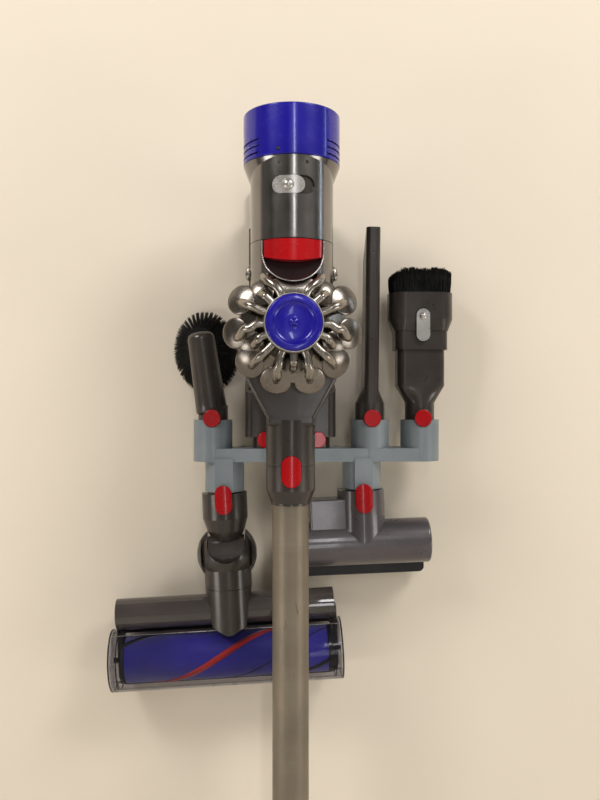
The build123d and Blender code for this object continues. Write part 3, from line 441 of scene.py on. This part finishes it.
outline = [on_casing(-RECESS_R, SEAM_Z - 1 - i * 2.0) for i in range(6)]
outline += [on_casing(-RECESS_R * math.cos(a), RECESS_Z - RECESS_R * math.sin(a))
            for a in [math.pi * i / 48 for i in range(1, 48)]]
outline += [on_casing(RECESS_R, SEAM_Z - 1 - i * 2.0) for i in range(5, -1, -1)]
rim = Build()
rim.tube(outline, [0.55] * len(outline), 10)
rim.make("recess_rim", FINISH["slider_silver"], "cyclone_pack", "slider_silver")

ring = Build()
ring.lathe((0, 0, PACK_Z), (0, -1, 0), [(25.9, 221.6), (25.9, 226.4), (26.3, 226.9), (26.8, 226.4),
                                        (26.9, 222.2), (25.9, 221.6)], 96)
ring.make("lid_ring", FINISH["slider_silver"], "pre_filter", "slider_silver")
lid = Build()
lid.lathe((0, 0, PACK_Z), (0, -1, 0),
          [(23.8, 215), (23.8, 222.5), (25.6, 222.5), (25.8, 223.5), (25.7, 226.3), (25.2, 227.2), (24.4, 227.6),
           (20.6, 227.9), (19.9, 227.8), (19.4, 227.3), (18.9, 226.3), (16.5, 225.2), (12, 224.3), (6, 223.9),
           (3.4, 224.0), (3.0, 224.6), (2.4, 225.6), (1.6, 226.0), (0.02, 226.1)], 96)
lid.make("filter_lid_face", FINISH["violet_gloss"], "pre_filter", "violet_gloss", stands_for=("filter_lid",))

marks = Build()
for x, z, radius, hole in ((-13.5, 40.2, 1.5, 0.85), (13.0, 40.2, 1.6, 0.0)):
    out = Vector((x, -math.sqrt(CASING_R ** 2 - x ** 2), 0)).normalized()
    marks.lathe(on_casing(x, z, -0.2), out, [(radius, 0), (radius, 0.26), (max(hole, 0.01), 0.3)], 24)
marks.make("casing_marks", INK_AND_SHADE, "vacuum", "silver_casing")
lugs, scuffs = Build(), Build()
for side in (-1, 1):
    lugs.tube([(side * out, LUG_Y, z) for out, z in ((40.0, -48.6), (41.2, -52), (42.2, -57), (41.6, -62),
                                                     (40.0, -64))], (0.6, 2.6, 3.3, 2.8, 0.6), 20)
lugs.make("casing_lugs", NICKEL, "vacuum", "silver_casing")
for x, z, length in ((5.6, -388, 13), (6.6, -392, 7), (-5.2, -404, 5), (-6.4, -408, 4), (3.0, -455, 2)):
    stroke = []
    for k in range(7):
        across = x + (k / 6 - 0.5) * length * 0.2
        stroke.append((across, WAND_Y - math.sqrt(SCUFF_R ** 2 - across ** 2), z - (k / 6 - 0.5) * length))
    scuffs.tube(stroke, [0.05, 0.16, 0.22, 0.12, 0.2, 0.14, 0.05], 6)
scuffs.make("wand_scuffs", INK_AND_SHADE, "wand", "wand_metal")
seam = Build()
seam.lathe((0, CASING_Y, SEAM_Z), (0, 0, 1), [(39.9, -0.35), (40.12, -0.3), (40.12, 0.3), (39.9, 0.35)], 96)
seam.make("casing_seam", INK_AND_SHADE, "vacuum", "silver_casing")
# A dark grey sheet laid just above the slider slot's floor: painted shade for the darkness inside the slot.
SLOT_R, SLOT_X, SLOT_Z, SLOT_HALF, SLOT_END = 38.02, 0.2, 19.0, 8.35, 19.7
slot = Build()
rows = []
for i in range(41):
    x = SLOT_X + (i / 20 - 1) * SLOT_END
    over = max(0.0, abs(x - SLOT_X) - (SLOT_END - SLOT_HALF))
    half = math.sqrt(max(0.0, SLOT_HALF ** 2 - over ** 2))
    y = CASING_Y - math.sqrt(SLOT_R ** 2 - x ** 2)
    rows += [(x, y, SLOT_Z - half), (x, y, SLOT_Z + half)]
slot.add(rows, grid_faces(40, 2))
slot.make("slider_slot_floor", FINISH["dark_grey"], "vacuum", "silver_casing")
# Dark grey rings in the gaps round the three tool buttons: painted shade for the darker edges of the rounded
# buttons.
for name, body, x in (("dusting_button_ring", "dusting_brush", DUSTING_X),
                      ("crevice_button_ring", "crevice", CREVICE_X),
                      ("combi_button_ring", "combi_tool", COMBI_X)):
    ring = Build()
    ring.lathe((x, RAIL_Y, BUTTON_Z), (0, -1, 0),
               [(9.55, 17), (9.55, 21.2), (10.15, 21.2), (10.15, 17), (9.55, 17)], 48)
    ring.make(name, FINISH["dark_grey"], body, "dark_grey")
cap_dot = Build()
cap_out = math.sqrt(CAP_R ** 2 - CAP_MARK_X ** 2)
out = Vector((CAP_MARK_X, -cap_out, 0)).normalized()
cap_dot.lathe(Vector((CAP_MARK_X, CAP_Y - cap_out + 0.2, CAP_MARK_Z)), out,
              [(1.75, 0), (1.75, 0.28), (0.01, 0.34)], 24)
cap_dot.make("cap_mark", INK_AND_SHADE, "post_filter", "violet_gloss")


# ---- Bristles ----
random.seed(41)
BRUSH_X, BRUSH_Z, BRUSH_LEAN, BRUSH_FOOT = -89, -121.5, -6.5, -189
ROOT_X, ROOT_Z = 16.6, 24.6
GAP = math.radians(8.6)


def brush_oval(half_x, half_z, y):
    """48 points round the dusting brush's oval, before it leans."""
    return [(BRUSH_X + half_x * math.cos(math.tau * k / 48), y, BRUSH_Z + half_z * math.sin(math.tau * k / 48))
            for k in range(48)]


fan = Build()
fan.add(leaned(brush_oval(ROOT_X, ROOT_Z, -26.8), BRUSH_X, BRUSH_FOOT, BRUSH_LEAN), [tuple(range(48))])
for _ in range(7600):
    a, share = random.uniform(0, math.tau), math.sqrt(random.uniform(0.1, 1.0))
    if abs(a - math.pi / 2) < 4.5 * GAP:
        tuft = round((a - math.pi / 2) / GAP) * GAP + math.pi / 2
        a = tuft + (a - tuft) * 0.62
    grow = min(1.0, share + random.uniform(-0.02, 0.05)) * random.uniform(0.97, 1.0)
    root = (BRUSH_X + ROOT_X * share * math.cos(a), -26.4, BRUSH_Z + ROOT_Z * share * math.sin(a))
    tip = (BRUSH_X + 2.5 + 38.4 * grow * math.cos(a), random.uniform(-10, -5.6),
           BRUSH_Z - 3 + 47.9 * grow * math.sin(a))
    root, tip = leaned((root, tip), BRUSH_X, BRUSH_FOOT, BRUSH_LEAN)
    fan.hair(root, tip, 0.55,
             (random.uniform(-0.4, 0.4), random.uniform(-1.5, 0.0), random.uniform(-0.4, 0.4)))
fan.make("dusting_brush_hair", FINISH["bristle_black"], "dusting_brush", "bristle_black",
         stands_for=("dusting_brush_bristles",))

# The brush's body: a sleeve in the rail, its button's seat, a leaning stem and a plate behind the bristles.
stem = Build()
stem.lathe((DUSTING_X, RAIL_Y, 0), (0, 0, 1),
           [(13, -186), (13, -241.5), (16.5, -241.5), (16.5, -186), (13, -186)], 64)
stem.lathe((DUSTING_X, RAIL_Y, BUTTON_Z), (0, -1, 0), [(8.5, 12), (8.5, 17.1), (0.02, 17.1)], 32)
foot, crown = Vector((-85.3, RAIL_Y, -193.5)), Vector((-98.4, RAIL_Y, -104.4))
up, tall = (crown - foot).normalized(), (crown - foot).length
taper_to = [(17.2 - 2.0 * k / 12, 3 + (tall - 12) * k / 12) for k in range(13)]
round_off = [(7.2 + 8 * math.cos(a), tall - 8 + 8 * math.sin(a))
             for a in [math.pi * k / 16 for k in range(9)]]
stem.lathe(foot, up, [(13, 0), (16.6, 0), (17.2, 1.2)] + taper_to[1:] + round_off + [(0.02, tall)], 64)
plate = brush_oval(12.5, 20, -26.9) + brush_oval(12.5, 20, -33)
stem.add(leaned(plate, BRUSH_X, BRUSH_FOOT, BRUSH_LEAN), round_faces(1, 48) + [tuple(range(48, 96))])
stem.make("dusting_brush_stem", FINISH["dark_grey"], "dusting_brush", "dark_grey",
          stands_for=("dusting_brush_body",))


def round_rectangle(width, depth, corner, share):
    """The point at a share of the way round a rectangle with round corners."""
    straight_x, straight_y = width - 2 * corner, depth - 2 * corner
    around = 2 * (straight_x + straight_y) + math.tau * corner
    along = share * around
    for turn in range(4):
        straight = straight_x if turn % 2 == 0 else straight_y
        centre = Vector(((1, -1, -1, 1)[turn] * straight_x / 2, (1, 1, -1, -1)[turn] * straight_y / 2, 0))
        quarter = math.pi / 2 * corner
        if along < quarter:
            a = math.pi / 2 * turn + along / corner
            return centre + Vector((math.cos(a), math.sin(a), 0)) * corner
        along -= quarter
        if along < straight:
            a = math.pi / 2 * (turn + 1)
            return centre + Vector((math.cos(a), math.sin(a), 0)) * corner + Vector(
                (-math.sin(a), math.cos(a), 0)) * along
        along -= straight
    return Vector((width / 2, 0, 0))


ruff = Build()
TUFTS = 58
for _ in range(3400):
    along, layer = random.random(), random.random()
    tuft = (math.floor(along * TUFTS) + 0.5) / TUFTS
    root = round_rectangle(57 + 10 * layer, 33 + 5 * layer, 10 + 4 * layer, tuft + (along - tuft) * 0.55)
    end = round_rectangle(57 + 12 * layer, 33 + 6 * layer, 10 + 5 * layer, along)
    tall = 26.6 + 0.9 * math.sin(tuft * 97) + 0.6 * math.sin(tuft * 41) + random.uniform(-2.2, 1.2)
    tall -= 9.0 * max(0.0, (-root.x - 20) / 14) ** 1.5 + 4.0 * max(0.0, (root.x - 22) / 12) ** 1.5
    ruff.hair(Vector((COMBI_X, RAIL_Y, -61.0)) + root,
              Vector((COMBI_X, RAIL_Y, min(-32.5, -60.8 + tall))) + end + Vector(
                  (random.uniform(-0.9, 0.9), random.uniform(-0.8, 0.8), 0)),
              0.42, (random.uniform(-0.6, 0.6), random.uniform(-0.6, 0.6), 0))
ruff.make("combi_hair", FINISH["bristle_black"], "combi_sleeve", "bristle_black",
          stands_for=("combi_bristles",))


# ---- Rollers ----
MAIN_X, HEAD_TILT, HEAD_TILT_Z = -71, -2.7, -295
MINI_X, MINI_TILT, MINI_TILT_Z = 82.5, -2, -289


def wound(left, right, radius, y, z, turns, start, width, thick):
    """Vertices and faces of a raised strip wound round a roller."""
    verts, steps = [], 160
    for i in range(steps + 1):
        a = start + i / steps * turns * math.tau
        for turn, r in ((-width, radius - 0.5), (-width, radius + thick), (width, radius + thick),
                        (width, radius - 0.5)):
            verts.append((left + (right - left) * i / steps, y + r * math.cos(a + turn),
                          z + r * math.sin(a + turn)))
    return verts, grid_faces(steps, 4)


def roller(name, left, right, radius, y, z, tilt, parts):
    """The name, shape and material of a roller's body, its ends and the strips wound on it.

    parts holds the body's material, then (name, material, turns, start, width, thickness) for each strip.
    """
    core = Build()
    core.lathe((left, y, z), (1, 0, 0),
               [(0.02, 0), (radius * 0.85, 0), (radius, 0.8), (radius, right - left - 0.8),
                (radius * 0.85, right - left), (0.02, right - left)], 64)
    core.verts = leaned(core.verts, *tilt)
    ends = Build()
    ends.lathe((left - 10, y, z), (1, 0, 0), [(0.02, 0), (2.9, 0), (2.9, right - left + 20),
                                              (0.02, right - left + 20)], 24)
    for start in (left - 0.1, right - 4.9):
        ends.lathe((start, y, z), (1, 0, 0), [(3, 0), (radius + 0.3, 0), (radius + 0.3, 5), (3, 5)], 64)
    ends.verts = leaned(ends.verts, *tilt)
    made = [(name, core, parts[0]), (name + "_ends", ends, FINISH["roller_black"])]
    for strip_name, material, turns, start, width, thick in parts[1:]:
        strip = Build()
        verts, faces = wound(left + 2, right - 2, radius, y, z, turns, start, width, thick)
        strip.add(leaned(verts, *tilt), faces)
        made.append((strip_name, strip, material))
    return made


floor_tilt = (MAIN_X, HEAD_TILT_Z, HEAD_TILT)
HALF_TURN = 137.0  # how far along the roller a strip runs in half a turn
first = 1.5 * math.pi + (192.2 - 161.0) / HALF_TURN * math.pi
sweep = -(229.1 / (2 * HALF_TURN))
for name, build, material in roller(
        "floor_roller", -192.2, 40.9, 25.2, HEAD_Y, ROLLER_Z, floor_tilt,
        [FINISH["roller_violet"], ("floor_roller_stripe", STRIPE_RED, sweep, first, 0.15, 0.6),
         ("floor_roller_strip", FINISH["roller_black"], sweep, first + math.pi, 0.10, 0.6),
         ("floor_roller_edge", FINISH["roller_black"], sweep, first + 0.5 * math.pi, 0.02, 0.5)]):
    build.make(name, material, "floor_brush", "roller_violet", stands_for=("head_brush_bar",))
mini_tilt = (MINI_X, MINI_TILT_Z, MINI_TILT)
mini_strips = [(f"mini_roller_strip_{k}", FINISH["bristle_black"], 0.6, k * math.pi / 2, 0.12, 5.5)
               for k in range(4)]
for name, build, material in roller("mini_roller", 12, 146, 15, RAIL_Y, MINI_Z, mini_tilt,
                                    [FINISH["roller_black"]] + mini_strips):
    build.make(name, material, "mini_brush", "roller_black", stands_for=("mini_brush_bar",))

# A paler band of smoke-grey clear plastic on the barrel in the floor head's neck: partly the barrel's clear
# part, partly a painted highlight on the barrel.
glow = Build()
rows = []
for i in range(13):
    a = math.pi + (i / 12 - 0.5) * 1.3
    rows += [(MAIN_X + x, RAIL_Y + 20.4 * math.cos(a), -351 + 20.4 * math.sin(a)) for x in (-9.5, -3, 3, 9.5)]
glow.add(leaned(rows, *floor_tilt), grid_faces(12, 4))
glow.make("neck_barrel_band", FINISH["smoke_plastic"], "floor_cuff", "smoke_plastic")



def on_window(x, radius, angle):
    return x, HEAD_Y + radius * math.cos(angle), ROLLER_Z + radius * math.sin(angle)


# The clear window's edges, drawn as painted shade in dark tubes and painted highlight in bright tubes: rings at
# both ends, and lines along it.
painted_shade_edge, painted_highlight_edge = Build(), Build()
arc = [math.radians(-62 - i * 236 / 48) for i in range(49)]
for end, inward in ((WINDOW_LEFT, 1), (WINDOW_RIGHT, -1)):
    for inset, radius, thick, edge in ((0.8, 33.0, 0.75, painted_shade_edge), (3.4, 31.2, 0.5, painted_highlight_edge),
                                       (8.6, 31.2, 0.6, painted_shade_edge)):
        ring = [on_window(end + inward * inset, radius, a) for a in arc]
        edge.tube(leaned(ring, *floor_tilt), [thick] * len(ring), 8)
for degrees, radius, thick, edge in ((-64, 32.8, 0.9, painted_shade_edge), (-112, 33.0, 0.6, painted_highlight_edge),
                                     (-122, 31.4, 0.3, painted_shade_edge), (-246, 33.2, 0.4, painted_highlight_edge)):
    line = [on_window(x, radius, math.radians(degrees)) for x in (WINDOW_LEFT + 1.2, WINDOW_RIGHT - 1.2)]
    edge.tube(leaned(line, *floor_tilt), [thick] * 2, 8)
# The dark tubes are painted shade and the bright tubes are painted highlight on the clear plastic.
painted_shade_edge.make("window_edges_dark", INK_AND_SHADE, "floor_head", "clear_plastic")
painted_highlight_edge.make("window_edges_bright", FINISH["slider_silver"], "floor_head", "clear_plastic")


# ---- Wall, floor, lights and camera ----
def one_sided(name, colour, tint, scale):
    """A matt painted surface that can't be seen from behind."""
    n = Nodes(name)
    n.set(n.shader.inputs["Base Color"], n.blend(n.span(n.noise(scale, 3), 0.3, 0.7), linear(*colour),
                                                 linear(*tint)))
    n.shader.inputs["Roughness"].default_value = 0.85
    n.relief(n.noise(scale * 90, 3), 0.05, 0.0006)
    back = n.tree.nodes.new("ShaderNodeNewGeometry").outputs["Backfacing"]
    n.mix_surfaces(back, n.shader, n.add("BsdfTransparent"))
    return n.material


def sheet(name, corners, material):
    mesh = bpy.data.meshes.new(name)
    mesh.from_pydata(corners, [], [(0, 1, 2, 3)])
    mesh.materials.append(material)
    thing = bpy.data.objects.new(name, mesh)
    bpy.context.scene.collection.objects.link(thing)


WALL_Y, FLOOR_Z = 0.001, -1.06
sheet("wall", [(-3, WALL_Y, FLOOR_Z), (3, WALL_Y, FLOOR_Z), (3, WALL_Y, 2.2), (-3, WALL_Y, 2.2)],
      one_sided("wall_paint", (238, 228, 210), (234, 223, 204), 1.5))
sheet("floor", [(-3, WALL_Y, FLOOR_Z), (-3, -4, FLOOR_Z), (3, -4, FLOOR_Z), (3, WALL_Y, FLOOR_Z)],
      one_sided("floor_paint", (222, 218, 210), (214, 210, 202), 2.0))


def lamp(name, place, target, width, height, power, colour):
    data = bpy.data.lights.new(name, "AREA")
    data.shape, data.size, data.size_y = "RECTANGLE", width, height
    data.energy, data.color = power, colour
    light = bpy.data.objects.new(name, data)
    light.location = place
    light.rotation_euler = (Vector(target) - Vector(place)).to_track_quat("-Z", "Y").to_euler()
    bpy.context.scene.collection.objects.link(light)


lamp("key", (1.1, -1.3, 1.2), (0, 0, -0.3), 0.6, 0.6, 18.5, (1.0, 0.96, 0.93))
lamp("second", (-1.15, -1.2, 1.15), (0, 0, -0.3), 0.6, 0.6, 17.5, (1.0, 0.955, 0.925))
lamp("low_right", (1.8, -1.2, -0.8), (0, 0, -0.25), 0.8, 0.5, 7, (1.0, 0.96, 0.93))
lamp("low_left", (-1.8, -1.2, -0.8), (0, 0, -0.25), 0.8, 0.5, 7, (1.0, 0.96, 0.93))
lamp("window", (0.2, -2.6, 0.88), (0, -0.2, 0), 0.14, 0.8, 5, (0.98, 0.98, 1.0))
lamp("low_window", (0.2, -2.6, -0.5), (0, -0.2, -0.4), 0.14, 0.8, 2.5, (0.98, 0.98, 1.0))
lamp("side_strip", (1.6, -0.34, 0.45), (0, -0.19, 0.02), 0.08, 0.5, 0.8, (0.7, 0.85, 1.0))

world = bpy.data.worlds.new("room")
bpy.context.scene.world = world
world.use_nodes = True
tree = world.node_tree
background = tree.nodes["Background"]
direction = tree.nodes.new("ShaderNodeTexCoord").outputs["Generated"]
stretch = tree.nodes.new("ShaderNodeMapping")
stretch.inputs["Scale"].default_value = (2.6, 2.6, 0.6)
bands = tree.nodes.new("ShaderNodeTexNoise")
bands.inputs["Scale"].default_value = 1.3
bands.inputs["Detail"].default_value = 1.0
ramp = tree.nodes.new("ShaderNodeValToRGB")
ramp.color_ramp.elements[0].position, ramp.color_ramp.elements[0].color = 0.4, (0.10, 0.09, 0.08, 1)
ramp.color_ramp.elements[1].position, ramp.color_ramp.elements[1].color = 0.62, (0.62, 0.58, 0.52, 1)
tree.links.new(direction, stretch.inputs["Vector"])
tree.links.new(stretch.outputs["Vector"], bands.inputs["Vector"])
tree.links.new(bands.outputs["Fac"], ramp.inputs["Fac"])
tree.links.new(ramp.outputs["Color"], background.inputs["Color"])
background.inputs["Strength"].default_value = 0.5

camera_data = bpy.data.cameras.new("camera")
camera_data.lens, camera_data.sensor_width, camera_data.sensor_fit = 36, 36, "AUTO"
camera_data.clip_start, camera_data.clip_end = 0.01, 20
camera = bpy.data.objects.new("camera", camera_data)
camera.location = (-0.026, -0.943, -0.180)
camera.rotation_euler = (math.radians(90), 0, math.radians(-2.5))
bpy.context.scene.collection.objects.link(camera)
bpy.context.scene.camera = camera
bpy.context.scene.view_settings.view_transform = "Standard"
